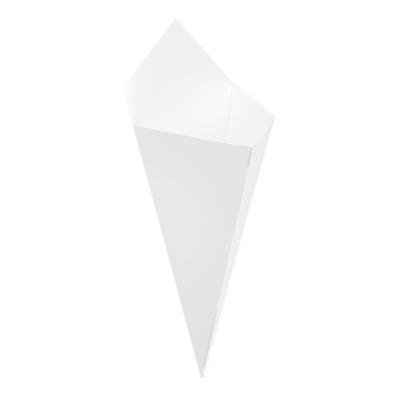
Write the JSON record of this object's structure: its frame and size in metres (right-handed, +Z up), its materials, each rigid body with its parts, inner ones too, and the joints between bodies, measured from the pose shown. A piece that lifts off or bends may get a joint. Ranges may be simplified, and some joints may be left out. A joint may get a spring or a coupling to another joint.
{
  "type": "paper fries cone",
  "caption": "Folded white paperboard cone for fries, with a straight low front edge, a tall peaked back panel and a creased side panel.",
  "frame": {"origin": "middle of the box that the cone fills, on the surface it lies on", "axes": "+Z up out of the back panel's inside face, +Y from the tip towards the mouth and the peak, -X on the long fold's side"},
  "size_m": [0.1042, 0.2538, 0.0891],
  "materials": {
    "paperboard": "matt coated white board"
  },
  "bodies": {
    "root": {"cone": "paperboard"}
  },
  "joints": []
}
